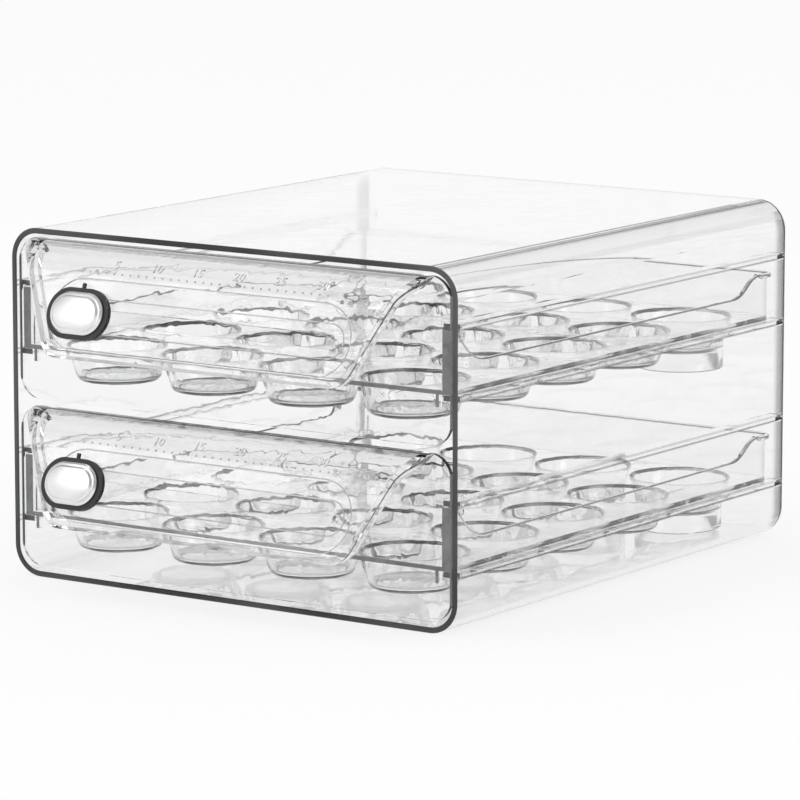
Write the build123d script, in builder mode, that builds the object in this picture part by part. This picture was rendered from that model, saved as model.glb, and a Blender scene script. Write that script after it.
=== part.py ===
from build123d import *
from math import cos, radians, sin, tan
import os

os.makedirs("parts", exist_ok=True)

# Millimetres. +Z is up and the drawers open towards -Y.
# The origin is the centre of the casing's underside.

# Casing
casing_width = 240.0
casing_depth = 275.0
casing_height = 158.0
casing_wall = 2.5
casing_corner_radius = 14.0
casing_back_edge_radius = 4.0
casing_mouth_chamfer = 0.4

# Rails: one pair under each tray and one pair above its side walls
bay_pitch = 76.0
rail_thickness = 2.4
rail_reach = 6.5
rail_low_height = 22.0
rail_opening = 28.4
rail_setback = 4.0
rail_groove_height = 1.9
rail_groove_depth = 1.2
gusset_reach = 2.1
gusset_drop = 3.6
gusset_thickness = 3.0

# Drawer front plate
plate_gap_below = 2.3
plate_gap_beside = 1.2
plate_height = 72.9
plate_thickness = 2.2
plate_inset = 0.8
plate_corner_radius = 11.0

# Pull flap: a rounded shoulder that runs into a tilted flat panel
flap_tilt = 18.95
flap_skin = 2.8
flap_rim_depth = 5.7
flap_rim_width = 3.0
flap_shoulder_radius = 20.0
flap_drop = 47.4
flap_top_half_width = 109.0
flap_knee_half_width = 99.2
flap_knee_drop = 8.4
flap_bottom_half_width = 79.9
flap_knee_radius = 16.0
flap_corner_radius = 12.0

# Recess and slot in the flap's panel
recess_length = 161.2
recess_height = 32.6
recess_depth = 0.6
recess_drop = 28.3
track_length = 154.0
track_height = 15.5
track_rise = 0.3
slot_length = 145.4
slot_height = 6.5

# Tray
runner_gap = 0.3
deck_thickness = 1.9
tray_wall = 2.2
tray_gap_beside = 2.5
tray_gap_behind = 4.8
tray_corner_radius = 8.0
tray_side_height = 11.2
tray_front_gap_above = 0.4
tray_back_height = 20.0
tray_front_run = 25.0
tray_rear_run = 36.0
tray_rear_flat = 11.0
tray_post_width = 4.0
tray_post_depth = 3.0
lip_overhang = 1.9
lip_thickness = 1.6
lip_length = 13.0

# Egg cups
cup_columns = 4
cup_rows = 5
cup_pitch_x = 53.0
cup_pitch_y = 54.2
cup_mouth_radius = 21.4
cup_floor_radius = 16.8
cup_depth = 14.0
cup_wall = 1.6
cup_back_margin = 22.5
foot_outer_radius = 20.3
foot_wall = 1.6

# Locating tabs under the deck
tab_centre = 108.45
tab_width = 1.6
tab_height = 5.5
tab_depth = 2.5

# Day marker
marker_gap = 0.3
marker_base_length = 33.6
marker_base_height = 23.0
marker_base_thickness = 2.0
marker_seat_depth = 0.6
marker_seat_gap = 0.1
cap_length = 28.6
cap_height = 18.9
cap_thickness = 2.4
cap_chamfer = 0.9
crown_margin = 1.9
crown_rise = 0.9
crown_chamfer = 0.8
pointer_width = 1.4
pointer_length = 2.4
pointer_thickness = 1.2
stem_length = 8.0
stem_gap = 0.2
clip_length = 15.0
clip_height = 11.0
clip_thickness = 1.6
boss_radius = 1.8
boss_gap = 0.05
lower_marker_x = -68.0
upper_marker_x = -63.8

# Places worked out from the sizes
front_y = -casing_depth / 2
back_inner_y = casing_depth / 2 - casing_wall
inner_half_width = casing_width / 2 - casing_wall
plate_half_width = inner_half_width - plate_gap_beside
plate_back_y = front_y + plate_inset + plate_thickness
tray_half_width = inner_half_width - tray_gap_beside
tray_back_y = back_inner_y - tray_gap_behind
tray_length = tray_back_y - plate_back_y
tray_centre_y = (tray_back_y + plate_back_y) / 2
plate_bottom = casing_wall + plate_gap_below
rail_low_top = plate_bottom + rail_low_height
rail_high_bottom = rail_low_top + rail_opening
deck_bottom = rail_low_top + runner_gap
deck_top = deck_bottom + deck_thickness
cup_last_y = tray_back_y - tray_wall - cup_back_margin
cup_centre_y = cup_last_y - (cup_rows - 1) * cup_pitch_y / 2


def facing_front(y):
    """A plane that looks towards -Y, with X to the right and Z up."""
    return Plane(origin=(0, y, 0), x_dir=(1, 0, 0), z_dir=(0, -1, 0))


def flap_profile(depth_from, depth_to, level):
    """Outline, in Y and Z, of the flap's wall between two depths below its outer face."""
    tilt = radians(flap_tilt)
    top = level + plate_bottom + plate_height
    centre = Vector(plate_back_y - plate_thickness / 2, top - flap_shoulder_radius)
    normal = Vector(-cos(tilt), sin(tilt))
    down = Vector(-sin(tilt), -cos(tilt))
    bottom = top - flap_drop
    outer = flap_shoulder_radius - depth_from
    inner = flap_shoulder_radius - depth_to
    outer_run = (centre.Y + outer * normal.Y - bottom) / cos(tilt)
    inner_run = (centre.Y + inner * normal.Y - bottom) / cos(tilt)
    outer_end = centre + normal * outer
    inner_end = centre + normal * inner
    with BuildLine() as outline:
        CenterArc(centre, outer, 90, 90 - flap_tilt)
        Line(outer_end, outer_end + down * outer_run)
        Line(outer_end + down * outer_run, inner_end + down * inner_run)
        Line(inner_end + down * inner_run, inner_end)
        CenterArc(centre, inner, 90, 90 - flap_tilt)
        Line(centre + Vector(0, inner), centre + Vector(0, outer))
    return outline.line


def panel_plane(x, level):
    """A plane on the flap's flat panel, at the height of the recess, looking outwards."""
    tilt = radians(flap_tilt)
    top = level + plate_bottom + plate_height
    centre_y = plate_back_y - plate_thickness / 2
    end_y = centre_y - flap_shoulder_radius * cos(tilt)
    end_z = top - flap_shoulder_radius + flap_shoulder_radius * sin(tilt)
    z = top - recess_drop
    y = end_y - (end_z - z) * tan(tilt)
    return Plane(origin=(x, y, z), x_dir=(1, 0, 0), z_dir=(0, -cos(tilt), sin(tilt)))


# Casing: a rounded shell, open at the front, closed at the back
with BuildPart() as casing:
    with BuildSketch(facing_front(-front_y)):
        with Locations((0, casing_height / 2)):
            RectangleRounded(casing_width, casing_height, casing_corner_radius)
    extrude(amount=casing_depth)
    fillet(casing.faces().sort_by(Axis.Y)[-1].edges(), radius=casing_back_edge_radius)
    with BuildSketch(facing_front(back_inner_y)):
        with Locations((0, casing_height / 2)):
            RectangleRounded(
                casing_width - 2 * casing_wall,
                casing_height - 2 * casing_wall,
                casing_corner_radius - casing_wall,
            )
    extrude(amount=casing_depth, mode=Mode.SUBTRACT)
    chamfer(casing.faces().sort_by(Axis.Y)[0].edges(), length=casing_mouth_chamfer)
    for level in (0.0, bay_pitch):
        for rail_bottom in (rail_low_top - rail_thickness, rail_high_bottom):
            rail_z = level + rail_bottom + rail_thickness / 2
            with BuildSketch(facing_front(back_inner_y)):
                for side in (-1, 1):
                    with Locations((side * (inner_half_width - rail_reach / 2), rail_z)):
                        Rectangle(rail_reach, rail_thickness)
            extrude(amount=back_inner_y - front_y - rail_setback)
            with BuildSketch(facing_front(-front_y)):
                for side in (-1, 1):
                    with Locations((side * casing_width / 2, rail_z)):
                        Rectangle(2 * rail_groove_depth, rail_groove_height)
            extrude(amount=casing_depth - rail_setback, mode=Mode.SUBTRACT)
        # A small gusset stiffens the front end of each upper rail
        gusset_z = level + rail_high_bottom
        with BuildSketch(facing_front(front_y + rail_setback + gusset_thickness)):
            for side in (-1, 1):
                with BuildLine():
                    Polyline(
                        (side * inner_half_width, gusset_z),
                        (side * (inner_half_width - gusset_reach), gusset_z),
                        (side * inner_half_width, gusset_z - gusset_drop),
                        close=True,
                    )
                make_face()
        extrude(amount=gusset_thickness)
casing.part.label = "casing"
export_step(casing.part, "parts/casing.step")

# Egg cup: the outside of one cup, and the hollow that an egg stands in
cup_slope = (cup_mouth_radius - cup_floor_radius) / (deck_thickness + cup_depth - cup_wall)
with BuildPart() as cup_outside:
    with BuildSketch(Plane.XZ):
        with BuildLine():
            Polyline(
                (0, -cup_depth),
                (cup_floor_radius + cup_wall, -cup_depth),
                (cup_floor_radius + cup_wall + cup_slope * cup_depth, 0),
                (0, 0),
                close=True,
            )
        make_face()
    revolve(axis=Axis.Z)
with BuildPart() as cup_hollow:
    with BuildSketch(Plane.XZ):
        with BuildLine():
            Polyline(
                (0, cup_wall - cup_depth),
                (cup_floor_radius, cup_wall - cup_depth),
                (cup_mouth_radius, deck_thickness),
                (0, deck_thickness),
                close=True,
            )
        make_face()
    revolve(axis=Axis.Z)

for bay, level, marker_x in (
    ("lower", 0.0, lower_marker_x),
    ("upper", bay_pitch, upper_marker_x),
):
    # Tray: deck, side and back walls, egg cups and rear feet
    with BuildPart() as tray:
        with BuildSketch(Plane.XY.offset(level + deck_bottom)) as plan:
            with Locations((0, tray_centre_y)):
                Rectangle(2 * tray_half_width, tray_length)
            fillet(plan.vertices().group_by(Axis.Y)[-1], radius=tray_corner_radius)
        extrude(amount=deck_thickness)
        wall_top = level + rail_high_bottom - tray_front_gap_above
        with BuildSketch(Plane.XY.offset(level + deck_bottom)) as wall_plan:
            add(plan.sketch)
            with Locations((0, tray_centre_y - tray_wall)):
                Rectangle(2 * (tray_half_width - tray_wall), tray_length, mode=Mode.SUBTRACT)
        extrude(amount=wall_top - level - deck_bottom)
        # Thicker posts behind the drawer front's sides
        with BuildSketch(Plane.XY.offset(level + deck_bottom)):
            with Locations((0, plate_back_y + tray_post_depth / 2)):
                with GridLocations(2 * tray_half_width - tray_post_width, 1, 2, 1):
                    Rectangle(tray_post_width, tray_post_depth)
        extrude(amount=wall_top - level - deck_bottom)
        side_top = level + deck_top + tray_side_height
        back_top = level + deck_top + tray_back_height
        rise_start = tray_back_y - tray_rear_run
        rise_end = tray_back_y - tray_rear_flat
        with BuildSketch(Plane.YZ) as scoop:
            with BuildLine():
                fall = Bezier(
                    (plate_back_y, wall_top),
                    (plate_back_y + 0.25 * tray_front_run, wall_top),
                    (plate_back_y + 0.4 * tray_front_run, side_top),
                    (plate_back_y + tray_front_run, side_top),
                )
                level_run = Line(fall @ 1, (rise_start, side_top))
                middle = (rise_start + rise_end) / 2
                rise = Bezier(level_run @ 1, (middle, side_top), (middle, back_top), (rise_end, back_top))
                Polyline(
                    rise @ 1,
                    (tray_back_y + tray_wall, back_top),
                    (tray_back_y + tray_wall, wall_top + tray_wall),
                    (plate_back_y, wall_top + tray_wall),
                    fall @ 0,
                )
            make_face()
        extrude(amount=casing_width, both=True, mode=Mode.SUBTRACT)
        with BuildSketch(Plane.XY.offset(back_top - lip_thickness)) as lip:
            add(plan.sketch)
            offset(amount=lip_overhang)
            with Locations((0, tray_centre_y - tray_wall)):
                Rectangle(2 * (tray_half_width - tray_wall), tray_length, mode=Mode.SUBTRACT)
            with Locations((0, tray_back_y - lip_length - casing_depth / 2)):
                Rectangle(casing_width, casing_depth, mode=Mode.SUBTRACT)
        extrude(amount=lip_thickness)
        with Locations((0, cup_centre_y, level + deck_bottom)):
            with GridLocations(cup_pitch_x, cup_pitch_y, cup_columns, cup_rows):
                add(cup_outside.part)
        with BuildSketch(Plane.XY.offset(level + plate_bottom)):
            with Locations((0, cup_last_y)):
                with GridLocations(cup_pitch_x, 1, cup_columns, 1):
                    Circle(foot_outer_radius)
                    Circle(foot_outer_radius - foot_wall, mode=Mode.SUBTRACT)
        extrude(amount=deck_bottom - plate_bottom)
        with Locations((0, cup_centre_y, level + deck_bottom)):
            with GridLocations(cup_pitch_x, cup_pitch_y, cup_columns, cup_rows):
                add(cup_hollow.part, mode=Mode.SUBTRACT)
        with BuildSketch(Plane.XY.offset(level + deck_bottom)):
            with Locations((0, plate_back_y + tab_depth / 2)):
                with GridLocations(2 * tab_centre, 1, 2, 1):
                    Rectangle(tab_width, tab_depth)
        extrude(amount=-tab_height)
    tray.part.label = f"{bay}_tray"
    export_step(tray.part, f"parts/{bay}_tray.step")

    # Flap: a curved sheet with a stiff rim, trimmed to its outline from the front
    panel = panel_plane(0, level)
    top = level + plate_bottom + plate_height
    with BuildPart() as flap:
        with BuildSketch(Plane.YZ):
            add(flap_profile(0, flap_rim_depth, level))
            make_face()
        extrude(amount=flap_top_half_width + flap_rim_width, both=True)
        with BuildSketch(facing_front(plate_back_y)) as outline:
            with BuildLine():
                Polyline(
                    (-flap_top_half_width, top + plate_inset),
                    (flap_top_half_width, top + plate_inset),
                    (flap_knee_half_width, top - flap_knee_drop),
                    (flap_bottom_half_width, top - flap_drop),
                    (-flap_bottom_half_width, top - flap_drop),
                    (-flap_knee_half_width, top - flap_knee_drop),
                    close=True,
                )
            make_face()
            corners = outline.vertices().group_by(Axis.Y)
            fillet(corners[0], radius=flap_corner_radius)
            knees = outline.vertices().filter_by(
                lambda v: abs(v.Y - (top - flap_knee_drop)) < plate_inset
            )
            fillet(knees, radius=flap_knee_radius)
        extrude(amount=casing_depth, mode=Mode.INTERSECT)
        with BuildSketch(Plane.YZ):
            add(flap_profile(flap_skin, flap_rim_depth + plate_thickness, level))
            make_face()
        hollow = extrude(amount=flap_top_half_width, both=True, mode=Mode.PRIVATE)
        with BuildSketch(facing_front(plate_back_y)):
            add(outline.sketch)
            offset(amount=-flap_rim_width)
        window = extrude(amount=casing_depth, mode=Mode.PRIVATE)
        add(hollow & window, mode=Mode.SUBTRACT)
        with BuildSketch(panel):
            SlotOverall(recess_length, recess_height)
        extrude(amount=-recess_depth, mode=Mode.SUBTRACT)
        with BuildSketch(panel.offset(-recess_depth)):
            SlotOverall(track_length, track_height)
        extrude(amount=track_rise)
        with BuildSketch(panel):
            SlotOverall(slot_length, slot_height)
        extrude(amount=-2 * flap_skin, mode=Mode.SUBTRACT)

    # Front: the plate and the flap are one moulding
    with BuildPart() as front:
        with BuildSketch(facing_front(plate_back_y)):
            with Locations((0, level + plate_bottom + plate_height / 2)):
                RectangleRounded(2 * plate_half_width, plate_height, plate_corner_radius)
        extrude(amount=plate_thickness)
        add(flap.part)
    front.part.label = f"{bay}_front"
    export_step(front.part, f"parts/{bay}_front.step")

    # Marker base: ring plate, pointer, and the stem that runs in the slot
    marker = panel_plane(marker_x, level)
    with BuildPart() as marker_base:
        with BuildSketch(marker.offset(marker_gap)):
            SlotOverall(marker_base_length, marker_base_height)
        extrude(amount=marker_base_thickness)
        with BuildSketch(marker.offset(marker_gap + marker_base_thickness)):
            SlotOverall(cap_length + 2 * marker_seat_gap, cap_height + 2 * marker_seat_gap)
        extrude(amount=-marker_seat_depth, mode=Mode.SUBTRACT)
        with BuildSketch(marker.offset(marker_gap)):
            with Locations((0, marker_base_height / 2)):
                Rectangle(pointer_width, 2 * pointer_length)
        extrude(amount=pointer_thickness)
        with BuildSketch(marker.offset(marker_gap)):
            SlotOverall(stem_length, slot_height - 2 * stem_gap)
        extrude(amount=-(flap_skin + 2 * marker_gap))
        with BuildSketch(marker.offset(-flap_skin - marker_gap)):
            Circle(boss_radius)
        extrude(amount=-clip_thickness)
    marker_base.part.label = f"{bay}_marker_base"
    export_step(marker_base.part, f"parts/{bay}_marker_base.step")

    # Marker cap: a crowned plate seated in the ring
    with BuildPart() as marker_cap:
        seat = marker.offset(marker_gap + marker_base_thickness - marker_seat_depth)
        outwards = Axis(seat.origin, seat.z_dir)
        with BuildSketch(seat):
            SlotOverall(cap_length, cap_height)
        extrude(amount=cap_thickness)
        chamfer(marker_cap.faces().sort_by(outwards)[-1].edges(), length=cap_chamfer)
        with BuildSketch(seat.offset(cap_thickness)):
            SlotOverall(cap_length - 2 * crown_margin, cap_height - 2 * crown_margin)
        extrude(amount=crown_rise)
        chamfer(marker_cap.faces().sort_by(outwards)[-1].edges(), length=crown_chamfer)
    marker_cap.part.label = f"{bay}_marker_cap"
    export_step(marker_cap.part, f"parts/{bay}_marker_cap.step")

    # Marker clip: the plate behind the flap that keeps the marker in its slot
    with BuildPart() as marker_clip:
        with BuildSketch(marker.offset(-flap_skin - marker_gap)):
            SlotOverall(clip_length, clip_height)
            Circle(boss_radius + boss_gap, mode=Mode.SUBTRACT)
        extrude(amount=-clip_thickness)
    marker_clip.part.label = f"{bay}_marker_clip"
    export_step(marker_clip.part, f"parts/{bay}_marker_clip.step")
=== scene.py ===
from math import cos, pi, radians, sin, tan

import bmesh
import bpy
from mathutils import Matrix, Vector


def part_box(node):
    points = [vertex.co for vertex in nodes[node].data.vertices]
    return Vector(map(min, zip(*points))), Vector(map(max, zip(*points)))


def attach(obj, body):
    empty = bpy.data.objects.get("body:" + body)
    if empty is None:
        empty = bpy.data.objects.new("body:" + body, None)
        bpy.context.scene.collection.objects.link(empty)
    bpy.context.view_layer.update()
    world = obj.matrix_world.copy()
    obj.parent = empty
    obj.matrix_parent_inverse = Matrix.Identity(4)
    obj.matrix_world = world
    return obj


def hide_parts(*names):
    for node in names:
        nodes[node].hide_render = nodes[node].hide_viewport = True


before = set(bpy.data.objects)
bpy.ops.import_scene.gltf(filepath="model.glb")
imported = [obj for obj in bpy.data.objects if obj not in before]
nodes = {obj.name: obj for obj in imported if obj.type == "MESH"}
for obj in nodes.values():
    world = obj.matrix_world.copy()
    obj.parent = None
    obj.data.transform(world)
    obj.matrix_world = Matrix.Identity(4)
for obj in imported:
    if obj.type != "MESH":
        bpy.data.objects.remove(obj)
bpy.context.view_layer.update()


mm = 0.001

# Camera, fitted to the photograph's 800 x 800 frame
camera_place = Vector((1.28130, -1.86057, 0.45151))
camera_aim = Vector((-0.56056, 0.81134, -0.16584))
camera_view_degrees = 9.1383

camera_data = bpy.data.cameras.new("camera")
camera_data.sensor_fit = "HORIZONTAL"
camera_data.angle = radians(camera_view_degrees)
camera_data.clip_end = 20.0
camera = bpy.data.objects.new("camera", camera_data)
camera.location = camera_place
camera.rotation_euler = camera_aim.to_track_quat("-Z", "Y").to_euler()
bpy.context.scene.collection.objects.link(camera)
bpy.context.scene.camera = camera

# Light passes through many clear walls before it reaches the camera
cycles = bpy.context.scene.cycles
cycles.max_bounces = 28
cycles.transmission_bounces = 28
cycles.glossy_bounces = 12
cycles.transparent_max_bounces = 40

bpy.context.scene.view_settings.view_transform = "Standard"


# Materials
plastic_density = 15.0
plastic_tint = (0.55, 0.56, 0.57)
plastic_ior = 1.49
plastic_roughness = 0.03
clear_white = (0.985, 0.985, 0.985)


def new_material(name):
    material = bpy.data.materials.new(name)
    material.use_nodes = True
    tree = material.node_tree
    for node in list(tree.nodes):
        tree.nodes.remove(node)
    output = tree.nodes.new("ShaderNodeOutputMaterial")
    return material, tree, output


def add_node(tree, kind, **settings):
    node = tree.nodes.new(kind)
    for key, value in settings.items():
        if hasattr(node, key):
            setattr(node, key, value)
        else:
            node.inputs[key.replace("_", " ")].default_value = value
    return node


def noise_range(tree, scale, low, high, detail=2.0):
    """A value between low and high that drifts over the surface."""
    where = add_node(tree, "ShaderNodeTexCoord")
    noise = add_node(tree, "ShaderNodeTexNoise", Scale=scale, Detail=detail)
    spread = add_node(tree, "ShaderNodeMapRange")
    spread.inputs["From Min"].default_value = 0.3
    spread.inputs["From Max"].default_value = 0.7
    spread.inputs["To Min"].default_value = low
    spread.inputs["To Max"].default_value = high
    tree.links.new(where.outputs["Object"], noise.inputs["Vector"])
    tree.links.new(noise.outputs["Fac"], spread.inputs["Value"])
    return noise, spread


def value_between(tree, value, low, high, soft):
    """1 where the value lies between low and high, fading to 0 over soft on each side."""
    rise = add_node(tree, "ShaderNodeMapRange")
    rise.inputs["From Min"].default_value = low - soft
    rise.inputs["From Max"].default_value = low
    fall = add_node(tree, "ShaderNodeMapRange")
    fall.inputs["From Min"].default_value = high + soft
    fall.inputs["From Max"].default_value = high
    both = add_node(tree, "ShaderNodeMath", operation="MULTIPLY")
    tree.links.new(value, rise.inputs["Value"])
    tree.links.new(value, fall.inputs["Value"])
    tree.links.new(rise.outputs["Result"], both.inputs[0])
    tree.links.new(fall.outputs["Result"], both.inputs[1])
    return both.outputs[0]


def combine(tree, operation, first, second=0.0):
    """A math node on two values, each a number or another node's output."""
    node = add_node(tree, "ShaderNodeMath", operation=operation)
    for socket, value in zip(node.inputs, (first, second)):
        if isinstance(value, float):
            socket.default_value = value
        else:
            tree.links.new(value, socket)
    return node.outputs[0]


def clear_plastic(name, bump_height, wave=60.0, color=clear_white):
    """Slightly waved clear plastic, greyer the further light runs through it."""
    material, tree, output = new_material(name)
    shader = add_node(tree, "ShaderNodeBsdfPrincipled", IOR=plastic_ior)
    shader.inputs["Base Color"].default_value = (*color, 1.0)
    shader.inputs["Transmission Weight"].default_value = 1.0
    noise, roughness = noise_range(tree, wave, 0.0, plastic_roughness)
    bump = add_node(tree, "ShaderNodeBump", Strength=1.0, Distance=bump_height)
    tree.links.new(noise.outputs["Fac"], bump.inputs["Height"])
    tree.links.new(roughness.outputs["Result"], shader.inputs["Roughness"])
    tree.links.new(bump.outputs["Normal"], shader.inputs["Normal"])
    tree.links.new(shader.outputs["BSDF"], output.inputs["Surface"])
    grey = add_node(tree, "ShaderNodeVolumeAbsorption", Density=plastic_density)
    grey.inputs["Color"].default_value = (*plastic_tint, 1.0)
    tree.links.new(grey.outputs["Volume"], output.inputs["Volume"])
    return material, tree, output, shader


def satin_shader(tree, dark, light, roughness, grain, spread=(0.3, 0.7), metallic=0.0):
    """An opaque satin surface whose colour drifts between dark and light."""
    shader = add_node(tree, "ShaderNodeBsdfPrincipled", Metallic=metallic)
    noise, rough = noise_range(tree, grain, *roughness)
    ramp = add_node(tree, "ShaderNodeValToRGB")
    for element, position, color in zip(ramp.color_ramp.elements, spread, (dark, light)):
        element.position = position
        element.color = (*color, 1.0)
    tree.links.new(noise.outputs["Fac"], ramp.inputs["Fac"])
    tree.links.new(ramp.outputs["Color"], shader.inputs["Base Color"])
    tree.links.new(rough.outputs["Result"], shader.inputs["Roughness"])
    return shader


def satin_plastic(name, *look, **more):
    material, tree, output = new_material(name)
    shader = satin_shader(tree, *look, **more)
    tree.links.new(shader.outputs["BSDF"], output.inputs["Surface"])
    return material


def object_axes(tree):
    """The X, Y and Z of a surface point, in the object's own frame."""
    place = add_node(tree, "ShaderNodeTexCoord")
    axes = add_node(tree, "ShaderNodeSeparateXYZ")
    tree.links.new(place.outputs["Object"], axes.inputs["Vector"])
    return axes.outputs


def mix_shaders(tree, factor, first, second):
    mix = add_node(tree, "ShaderNodeMixShader")
    tree.links.new(factor, mix.inputs["Fac"])
    tree.links.new(first.outputs[0], mix.inputs[1])
    tree.links.new(second.outputs[0], mix.inputs[2])
    return mix


tray_clear, *_ = clear_plastic("clear_plastic_tray", 0.1 * mm, 90.0)
front_clear, front_tree, front_output, front_shader = clear_plastic(
    "clear_plastic_front", 0.2 * mm, 70.0
)
# Painted shade: a greyer copy of the clear plastic for the day dots and panel outlines, standing
# in for their darker refraction
trim_painted_shade, *_ = clear_plastic("clear_plastic_trim_painted_shade", 0.1 * mm, color=(0.8, 0.805, 0.81))
# Painted shade: greyer copies of the clear plastic for the trays' rounded cup rims, wall tops
# and feet, standing in for their darker refraction
cup_rim_painted_shade, *_ = clear_plastic("clear_plastic_rim_painted_shade", 0.1 * mm, color=(0.7, 0.705, 0.71))
rounded_edge_painted_shade, *_ = clear_plastic("clear_plastic_edge_painted_shade", 0.1 * mm, color=(0.42, 0.425, 0.43))
casing_clear, casing_tree, casing_output, casing_shader = clear_plastic(
    "clear_plastic_casing", 0.02 * mm
)


# Painted shade: grey lines along the rails' grooves and a grey band down the back edges,
# standing in for the darker look where the wall is seen along its length
rail_middles = tuple(z * mm for z in (25.6, 56.4, 101.6, 132.4))
groove_line = (0.75 * mm, 1.3 * mm)
groove_painted_shade = 0.5
groove_break = 1.6 * mm
side_x = 116.5 * mm
back_band = (126.5 * mm, 130.5 * mm)
back_edge_painted_shade = 0.6
soft_edge = 0.2 * mm
far_away = 1.0
painted_wall_shade = (0.06, 0.06, 0.065)
axes = object_axes(casing_tree)
from_middle = combine(casing_tree, "ABSOLUTE", axes["X"])
on_side = combine(casing_tree, "GREATER_THAN", from_middle, side_x)
to_rail = far_away
for middle_z in rail_middles:
    offset = combine(casing_tree, "SUBTRACT", axes["Z"], middle_z)
    to_rail = combine(casing_tree, "MINIMUM", combine(casing_tree, "ABSOLUTE", offset), to_rail)
back = add_node(casing_tree, "ShaderNodeMapRange")
back.inputs["From Min"].default_value, back.inputs["From Max"].default_value = back_band
casing_tree.links.new(axes["Y"], back.inputs["Value"])
before_back = combine(casing_tree, "SUBTRACT", 1.0, back.outputs["Result"])
line = value_between(casing_tree, to_rail, *groove_line, soft_edge)
line = combine(casing_tree, "MULTIPLY", line, before_back)
line = combine(casing_tree, "MULTIPLY", line, groove_painted_shade)
at_rail = value_between(casing_tree, to_rail, 0.0, groove_break, soft_edge)
band = combine(casing_tree, "SUBTRACT", back.outputs["Result"], at_rail)
band = combine(casing_tree, "MULTIPLY", band, back_edge_painted_shade)
grey = combine(casing_tree, "MAXIMUM", line, band)
grey = combine(casing_tree, "MULTIPLY", grey, on_side)
# The base colour goes from clear white to grey there: painted shade
painted_shade_mix = add_node(casing_tree, "ShaderNodeMix", data_type="RGBA")
painted_shade_mix_inputs = [socket for socket in painted_shade_mix.inputs if socket.type == "RGBA"]
painted_shade_mix_inputs[0].default_value = (*clear_white, 1.0)
painted_shade_mix_inputs[1].default_value = (*painted_wall_shade, 1.0)
painted_shade_mix_result = next(socket for socket in painted_shade_mix.outputs if socket.type == "RGBA")
casing_tree.links.new(grey, painted_shade_mix.inputs["Factor"])
casing_tree.links.new(painted_shade_mix_result, casing_shader.inputs["Base Color"])

# Painted shade: the casing's front edge is made near black, standing in for the dark look of the
# clear walls' ends
mouth_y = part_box("casing")[0].y
edge_depth = 0.8 * mm
at_edge = add_node(casing_tree, "ShaderNodeMapRange")
at_edge.inputs["From Min"].default_value = mouth_y + edge_depth
at_edge.inputs["From Max"].default_value = mouth_y + 0.5 * edge_depth
casing_tree.links.new(axes["Y"], at_edge.inputs["Value"])
front_edge_painted_shade = satin_shader(
    casing_tree, (0.02, 0.02, 0.022), (0.09, 0.09, 0.095), (0.2, 0.4), 14.0, spread=(0.35, 0.65)
)
casing_mix = mix_shaders(casing_tree, at_edge.outputs["Result"], casing_shader, front_edge_painted_shade)
casing_tree.links.new(casing_mix.outputs["Shader"], casing_output.inputs["Surface"])

# Cut ends of the walls look grey: light that runs along a wall comes out there
cut_end = satin_plastic(
    "clear_plastic_cut_end", (0.16, 0.16, 0.165), (0.34, 0.345, 0.35), (0.2, 0.4), 90.0
)
plate_end_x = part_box("lower_front")[1].x - 0.4 * mm
across = combine(front_tree, "ABSOLUTE", object_axes(front_tree)["X"])
at_end = combine(front_tree, "GREATER_THAN", across, plate_end_x)
plate_end = satin_shader(
    front_tree, (0.12, 0.12, 0.125), (0.36, 0.365, 0.37), (0.2, 0.4), 90.0, spread=(0.0, 1.0)
)
front_mix = mix_shaders(front_tree, at_end, front_shader, plate_end)
front_tree.links.new(front_mix.outputs["Shader"], front_output.inputs["Surface"])

marker_dark = satin_plastic(
    "marker_charcoal", (0.008, 0.008, 0.009), (0.02, 0.02, 0.021), (0.25, 0.4), 300.0
)


def domed(material, node, rise):
    """Adds a shallow dome, as wide as the node, to a material's normals."""
    tree = material.node_tree
    shader = next(n for n in tree.nodes if n.type == "BSDF_PRINCIPLED")
    low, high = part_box(node)
    where = add_node(tree, "ShaderNodeTexCoord")
    centred = add_node(tree, "ShaderNodeVectorMath", operation="SUBTRACT")
    centred.inputs[1].default_value = (low + high) / 2
    sized = add_node(tree, "ShaderNodeVectorMath", operation="DIVIDE")
    sized.inputs[1].default_value = (high.x - low.x, 1.0, high.z - low.z)
    squared = add_node(tree, "ShaderNodeVectorMath", operation="DOT_PRODUCT")
    bump = add_node(tree, "ShaderNodeBump", Strength=1.0, Distance=-rise)
    tree.links.new(where.outputs["Object"], centred.inputs[0])
    tree.links.new(centred.outputs["Vector"], sized.inputs[0])
    tree.links.new(sized.outputs["Vector"], squared.inputs[0])
    tree.links.new(sized.outputs["Vector"], squared.inputs[1])
    tree.links.new(squared.outputs["Value"], bump.inputs["Height"])
    tree.links.new(bump.outputs["Normal"], shader.inputs["Normal"])
    return material


silver_dark = (0.80, 0.80, 0.81)
silver_light = (0.84, 0.84, 0.85)
dome_rise = 3.6 * mm
silver_roughness = (0.22, 0.26)
silver_grain = 120.0
lower_silver, upper_silver = (
    satin_plastic(
        f"marker_silver_{bay}", silver_dark, silver_light,
        silver_roughness, silver_grain, metallic=1.0,
    )
    for bay in ("lower", "upper")
)
domed(lower_silver, "lower_marker_cap", dome_rise)
domed(upper_silver, "upper_marker_cap", dome_rise)

# Materials for each part; the casing's carries painted shade on its grooves, back edges and
# front edge
part_materials = {
    "casing": casing_clear,
    "tray": tray_clear,
    "front": front_clear,
    "marker_base": marker_dark,
    "marker_clip": marker_dark,
    "lower_marker_cap": lower_silver,
    "upper_marker_cap": upper_silver,
}
for name, node in nodes.items():
    kind = name if name in part_materials else name.removeprefix("lower_").removeprefix("upper_")
    for index in range(len(node.material_slots)):
        node.material_slots[index].material = part_materials[kind]

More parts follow.
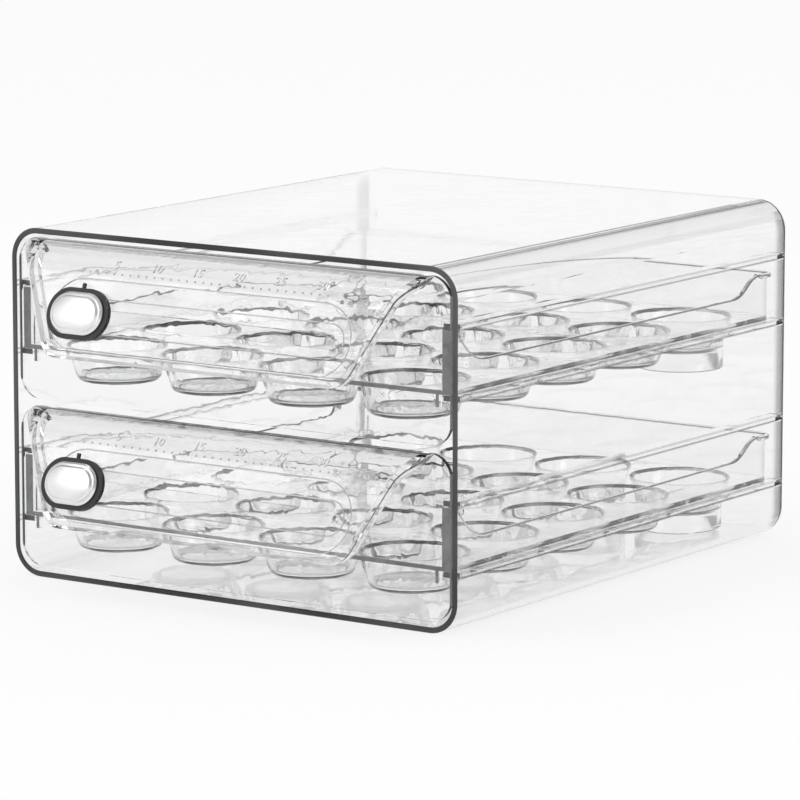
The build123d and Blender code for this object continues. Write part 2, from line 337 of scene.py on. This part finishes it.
# Day scale on each flap's shoulder: raised numbers and a dot for each day
flap_tilt = 18.95
shoulder_radius = 20.0 * mm
shoulder_setback = 1.1 * mm
day_pitch = 4.4 * mm
day_middle = 16
scale_shift = -1.5 * mm
days = 31
digit_height = 4.2 * mm
digit_share = 0.7  # of the font's size
digit_sink = 0.05 * mm
digit_angle = 48.0
dot_angle = 60.0
dot_radius = 0.55 * mm
relief = 0.3 * mm


def shoulder_point(node, x, angle, lift=0.0):
    """A point on the flap's rounded shoulder, at an angle from straight up towards the front."""
    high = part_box(node)[1]
    centre_y = high.y - shoulder_setback
    centre_z = high.z - shoulder_radius
    reach = shoulder_radius + lift
    turned = radians(angle)
    return Vector((x, centre_y - reach * sin(turned), centre_z + reach * cos(turned)))


def on_shoulder(node, x, angle, lift):
    """A frame there: X along the object, Y up the slope, Z out of the surface."""
    out = Vector((0, -sin(radians(angle)), cos(radians(angle))))
    along = Vector((1, 0, 0))
    up = out.cross(along)
    turn = Matrix((along, up, out)).transposed().to_4x4()
    return Matrix.Translation(shoulder_point(node, x, angle, lift)) @ turn


def to_mesh(curve_object, name):
    """Turns a text into a plain mesh object of that name."""
    bpy.context.scene.collection.objects.link(curve_object)
    bpy.context.view_layer.update()
    depsgraph = bpy.context.evaluated_depsgraph_get()
    mesh = bpy.data.meshes.new_from_object(curve_object.evaluated_get(depsgraph))
    piece = bpy.data.objects.new(name, mesh)
    bpy.context.scene.collection.objects.link(piece)
    bpy.data.objects.remove(curve_object)
    return piece


for bay in ("lower", "upper"):
    for day in range(5, days, 5):
        text = bpy.data.curves.new(f"{bay}_day_{day}", "FONT")
        text.body = str(day)
        text.size = digit_height / digit_share
        text.extrude = relief
        text.align_x = "CENTER"
        text.align_y = "CENTER"
        text.resolution_u = 3
        piece = to_mesh(bpy.data.objects.new("text", text), f"{bay}_day_{day}")
        x = (day - day_middle) * day_pitch + scale_shift
        piece.matrix_world = on_shoulder(f"{bay}_front", x, digit_angle, -digit_sink)
        piece.data.materials.clear()
        piece.data.materials.append(front_clear)
        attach(piece, f"{bay}_drawer")


def new_piece(name, mesh, materials, body):
    piece = bpy.data.objects.new(name, mesh)
    bpy.context.scene.collection.objects.link(piece)
    for material in materials:
        mesh.materials.append(material)
    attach(piece, body)
    return piece


# A raised dot under the scale for each day
for bay in ("lower", "upper"):
    dots = bmesh.new()
    for day in range(1, days + 1):
        x = (day - day_middle) * day_pitch + scale_shift
        place = Matrix.Translation(shoulder_point(f"{bay}_front", x, dot_angle))
        bmesh.ops.create_icosphere(dots, subdivisions=2, radius=dot_radius, matrix=place)
    mesh = bpy.data.meshes.new(f"{bay}_day_dots")
    dots.to_mesh(mesh)
    mesh.shade_smooth()
    new_piece(f"{bay}_day_dots", mesh, [trim_painted_shade], f"{bay}_drawer")

# Fine raised outlines of the recess and of the slot's ring, on the flap's flat panel
recess_drop = 28.3 * mm
recess_size = (161.2 * mm, 32.6 * mm)
ring_size = (154.0 * mm, 15.5 * mm)
outline_radius = 0.3 * mm
outline_depth = 0.12 * mm


def panel_matrix(node):
    """The flap's flat panel at the recess: X along the object, Y up it, Z out of it."""
    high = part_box(node)[1]
    tilt = radians(flap_tilt)
    centre_y = high.y - shoulder_setback
    end_y = centre_y - shoulder_radius * cos(tilt)
    end_z = high.z - shoulder_radius + shoulder_radius * sin(tilt)
    z = high.z - recess_drop
    out = Vector((0, -cos(tilt), sin(tilt)))
    along = Vector((1, 0, 0))
    up = out.cross(along)
    place = Vector((0, end_y - (end_z - z) * tan(tilt), z))
    return Matrix.Translation(place) @ Matrix((along, up, out)).transposed().to_4x4()


def stadium_tube(name, size, radius, place):
    """A thin closed tube along a stadium outline."""
    length, height = size
    middle, end = (length - height) / 2, height / 2
    steps = 16
    points = []
    for side in (1, -1):
        for step in range(steps + 1):
            angle = pi * step / steps - pi / 2
            points.append((side * (middle + end * cos(angle)), side * end * sin(angle), 0.0))
    curve = bpy.data.curves.new(name, "CURVE")
    curve.dimensions = "3D"
    curve.bevel_depth = radius
    curve.bevel_resolution = 2
    spline = curve.splines.new("POLY")
    spline.points.add(len(points) - 1)
    for point, target in zip(points, spline.points):
        target.co = (*point, 1.0)
    spline.use_cyclic_u = True
    tube = bpy.data.objects.new(name, curve)
    tube.matrix_world = place
    bpy.context.scene.collection.objects.link(tube)
    bpy.context.view_layer.update()
    depsgraph = bpy.context.evaluated_depsgraph_get()
    mesh = bpy.data.meshes.new_from_object(tube.evaluated_get(depsgraph))
    mesh.transform(place)
    mesh.shade_smooth()
    bpy.data.objects.remove(tube)
    return mesh


for bay in ("lower", "upper"):
    panel = panel_matrix(f"{bay}_front") @ Matrix.Translation((0, 0, -outline_depth))
    for name, size in (("recess_outline", recess_size), ("slot_outline", ring_size)):
        mesh = stadium_tube(f"{bay}_{name}", size, outline_radius, panel)
        new_piece(f"{bay}_{name}", mesh, [trim_painted_shade], f"{bay}_drawer")

# Trays: the drawn solids, with the edges of cups, wall tops and feet rounded, and those rounded
# faces painted greyer as shade
cup_columns, cup_rows = 4, 5
cup_pitch_x, cup_pitch_y = 53.0 * mm, 54.2 * mm
cup_back_margin = 24.7 * mm
lip_overhang = 1.9 * mm
# Radius of each of a cup's edges: how far it is rounded
cup_roundings = {18.4 * mm: 1.8 * mm, 21.4 * mm: 1.3 * mm, 16.8 * mm: 1.8 * mm}
wall_rounding = 0.6 * mm
foot_rounding = 0.5 * mm
wall_edge_x = 112.7 * mm
end_gap = 0.08 * mm
flat_area = 90.0 * mm * mm
deck_rise = 33.0 * mm
ring_tolerance = 0.25 * mm
level_tolerance = 0.01 * mm
longest_ring_edge = 6.0 * mm
merge_distance = 0.001 * mm
flat_angle = radians(0.4)
sharp_angle = radians(35)
cup_rim_painted_shade_slot, rounded_edge_painted_shade_slot, front_end_painted_shade_slot = 1, 2, 3  # places in the tray's list of materials; each holds painted shade


def cup_centres(node):
    """The middles of a tray's cups, at height 0."""
    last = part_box(node)[1].y - lip_overhang - cup_back_margin
    for column in range(cup_columns):
        for row in range(cup_rows):
            x = (column - (cup_columns - 1) / 2) * cup_pitch_x
            yield Vector((x, last - row * cup_pitch_y, 0.0))


def rounded_tray(bay):
    """A copy of the tray's mesh with its edges rounded, which stands for the node."""
    node = f"{bay}_tray"
    centres = list(cup_centres(node))
    tray = bmesh.new()
    tray.from_mesh(nodes[node].data)
    bmesh.ops.remove_doubles(tray, verts=tray.verts, dist=merge_distance)
    bmesh.ops.dissolve_limit(
        tray, angle_limit=flat_angle, verts=tray.verts, edges=tray.edges
    )

    def on_cup_edge(vert):
        flat = Vector((vert.co.x, vert.co.y, 0.0))
        centre = min(centres, key=lambda c: (flat - c).length)
        reach = (flat - centre).length
        return next((r for r in cup_roundings if abs(reach - r) < ring_tolerance), None)

    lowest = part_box(node)[0]
    deck = lowest.z + deck_rise
    foot_top = lowest.z + 0.05 * mm
    rims = {radius: [] for radius in cup_roundings}
    wall_edges, foot_edges = [], []
    for edge in tray.edges:
        first, second = edge.verts
        if len(edge.link_faces) == 2 and edge.calc_face_angle() > radians(60):
            if all(abs(v.co.x) > wall_edge_x and v.co.z > deck for v in edge.verts):
                if any(face.normal.z > 0.3 for face in edge.link_faces):
                    wall_edges.append(edge)
            if all(v.co.z < foot_top for v in edge.verts):
                foot_edges.append(edge)
        if abs(first.co.z - second.co.z) > level_tolerance:
            continue
        kinds = {on_cup_edge(first), on_cup_edge(second)}
        if len(kinds) == 1 and None not in kinds and edge.calc_length() < longest_ring_edge:
            if len(edge.link_faces) == 2 and edge.calc_face_angle() > radians(20):
                rims[kinds.pop()].append(edge)
    roundings = [(edges, cup_roundings[radius], 3, cup_rim_painted_shade_slot) for radius, edges in rims.items()]
    roundings.append((wall_edges, wall_rounding, 2, rounded_edge_painted_shade_slot))
    roundings.append((foot_edges, foot_rounding, 2, rounded_edge_painted_shade_slot))
    for edges, size, segments, painted_shade_slot in roundings:
        rounded = bmesh.ops.bevel(
            tray, geom=edges, offset=size, segments=segments, profile=0.5,
            affect="EDGES", clamp_overlap=False,
        )
        # The rounded faces take the greyer plastic: painted shade
        for face in rounded["faces"]:
            face.material_index = painted_shade_slot
    front_y = lowest.y + end_gap
    # Painted shade: the tray's front end faces take the grey cut-end material
    for face in tray.faces:
        if face.normal.y < -0.9 and face.calc_center_median().y < front_y:
            face.material_index = front_end_painted_shade_slot
    for vert in tray.verts:
        vert.co.y = max(vert.co.y, front_y)
    mesh = bpy.data.meshes.new(f"{bay}_tray_rounded")
    tray.to_mesh(mesh)
    mesh.shade_smooth()
    mesh.set_sharp_from_angle(angle=sharp_angle)
    tray_materials = [tray_clear, cup_rim_painted_shade, rounded_edge_painted_shade, cut_end]
    name = f"{bay}_tray_rounded"
    piece = new_piece(name, mesh, tray_materials, f"{bay}_drawer")
    for face in mesh.polygons:
        face.use_smooth = face.area < flat_area
    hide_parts(node)


for bay in ("lower", "upper"):
    rounded_tray(bay)

# Floor and world
def white_to_camera(tree, seen, lit, output_socket):
    """Camera, glossy and transmission rays see one shader, other light comes from the second."""
    path = tree.nodes.new("ShaderNodeLightPath")
    first = add_node(tree, "ShaderNodeMath", operation="MAXIMUM")
    second = add_node(tree, "ShaderNodeMath", operation="MAXIMUM")
    mixed = add_node(tree, "ShaderNodeMixShader")
    tree.links.new(path.outputs["Is Camera Ray"], first.inputs[0])
    tree.links.new(path.outputs["Is Glossy Ray"], first.inputs[1])
    tree.links.new(first.outputs[0], second.inputs[0])
    tree.links.new(path.outputs["Is Transmission Ray"], second.inputs[1])
    tree.links.new(second.outputs[0], mixed.inputs["Fac"])
    tree.links.new(lit, mixed.inputs[1])
    tree.links.new(seen, mixed.inputs[2])
    tree.links.new(mixed.outputs[0], output_socket)


floor_mesh = bpy.data.meshes.new("floor")
reach = 6.0
floor_mesh.from_pydata(
    [(-reach, -reach, 0), (reach, -reach, 0), (reach, reach, 0), (-reach, reach, 0)],
    [],
    [(0, 1, 2, 3)],
)
floor = bpy.data.objects.new("floor", floor_mesh)
floor.location.z = -0.2 * mm
bpy.context.scene.collection.objects.link(floor)
floor_material, floor_tree, floor_output = new_material("floor")
floor_diffuse = add_node(floor_tree, "ShaderNodeBsdfDiffuse")
floor_diffuse.inputs["Color"].default_value = (0.8, 0.8, 0.8, 1.0)
floor_glow = add_node(floor_tree, "ShaderNodeEmission", Strength=1.04)
floor_sum = add_node(floor_tree, "ShaderNodeMixShader", Fac=0.8)
floor_tree.links.new(floor_diffuse.outputs[0], floor_sum.inputs[1])
floor_tree.links.new(floor_glow.outputs[0], floor_sum.inputs[2])
white_to_camera(
    floor_tree, floor_sum.outputs[0], floor_diffuse.outputs[0], floor_output.inputs["Surface"]
)
floor_mesh.materials.append(floor_material)

world = bpy.data.worlds.new("world")
world.use_nodes = True
bpy.context.scene.world = world
world_tree = world.node_tree
for node in list(world_tree.nodes):
    world_tree.nodes.remove(node)
world_output = world_tree.nodes.new("ShaderNodeOutputWorld")
studio_grey = 0.25
sky_start = 0.22
sky_end = 0.5
card_count = 8
card_edge = 0.75
sky_share = 0.5
direction = add_node(world_tree, "ShaderNodeTexCoord")
parts = add_node(world_tree, "ShaderNodeSeparateXYZ")
world_tree.links.new(direction.outputs["Generated"], parts.inputs["Vector"])
sky = add_node(world_tree, "ShaderNodeMapRange", interpolation_type="SMOOTHSTEP")
sky.inputs["From Min"].default_value = sky_start
sky.inputs["From Max"].default_value = sky_end
sky.inputs["To Max"].default_value = sky_share
world_tree.links.new(parts.outputs["Z"], sky.inputs["Value"])
turn = add_node(world_tree, "ShaderNodeMath", operation="ARCTAN2")
world_tree.links.new(parts.outputs["Y"], turn.inputs[0])
world_tree.links.new(parts.outputs["X"], turn.inputs[1])
turns = add_node(world_tree, "ShaderNodeMath", operation="MULTIPLY")
turns.inputs[1].default_value = card_count
world_tree.links.new(turn.outputs[0], turns.inputs[0])
wave = add_node(world_tree, "ShaderNodeMath", operation="COSINE")
world_tree.links.new(turns.outputs[0], wave.inputs[0])
cards = add_node(world_tree, "ShaderNodeMapRange", interpolation_type="SMOOTHSTEP")
cards.inputs["From Min"].default_value = -card_edge + 0.1
cards.inputs["From Max"].default_value = -card_edge - 0.1
world_tree.links.new(wave.outputs[0], cards.inputs["Value"])
darker = add_node(world_tree, "ShaderNodeMath", operation="MAXIMUM")
world_tree.links.new(sky.outputs["Result"], darker.inputs[0])
world_tree.links.new(cards.outputs["Result"], darker.inputs[1])
studio = add_node(world_tree, "ShaderNodeMapRange")
studio.inputs["To Min"].default_value = 1.0
studio.inputs["To Max"].default_value = studio_grey
world_tree.links.new(darker.outputs[0], studio.inputs["Value"])
white = add_node(world_tree, "ShaderNodeBackground", Strength=1.0)
white.inputs["Color"].default_value = (1, 1, 1, 1)
seen_in_plastic = add_node(world_tree, "ShaderNodeBackground", Strength=1.0)
world_tree.links.new(studio.outputs["Result"], seen_in_plastic.inputs["Color"])
dim = add_node(world_tree, "ShaderNodeBackground", Strength=0.8)
dim.inputs["Color"].default_value = (1, 1, 1, 1)
path = world_tree.nodes.new("ShaderNodeLightPath")
bounced = add_node(world_tree, "ShaderNodeMath", operation="MAXIMUM")
world_tree.links.new(path.outputs["Is Glossy Ray"], bounced.inputs[0])
world_tree.links.new(path.outputs["Is Transmission Ray"], bounced.inputs[1])
inner = add_node(world_tree, "ShaderNodeMixShader")
world_tree.links.new(bounced.outputs[0], inner.inputs["Fac"])
world_tree.links.new(dim.outputs[0], inner.inputs[1])
world_tree.links.new(seen_in_plastic.outputs[0], inner.inputs[2])
outer = add_node(world_tree, "ShaderNodeMixShader")
world_tree.links.new(path.outputs["Is Camera Ray"], outer.inputs["Fac"])
world_tree.links.new(inner.outputs[0], outer.inputs[1])
world_tree.links.new(white.outputs[0], outer.inputs[2])
world_tree.links.new(outer.outputs[0], world_output.inputs["Surface"])


# Lamps
def area_lamp(name, place, aim, size, power):
    data = bpy.data.lights.new(name, "AREA")
    data.shape = "RECTANGLE"
    data.size, data.size_y = size
    data.energy = power
    lamp = bpy.data.objects.new(name, data)
    lamp.location = place
    lamp.rotation_euler = (Vector(aim) - Vector(place)).to_track_quat("-Z", "Y").to_euler()
    bpy.context.scene.collection.objects.link(lamp)
    return lamp


middle = (0.0, 0.0, 0.08)
area_lamp("key_lamp", (-1.12, -1.6, 1.0), middle, (0.75, 0.62), 1.9)
area_lamp("top_lamp", (-0.6, -0.4, 1.8), middle, (0.8, 0.5), 5.0)
area_lamp("side_lamp", (1.5, 0.2, 0.9), middle, (0.8, 0.8), 4.0)
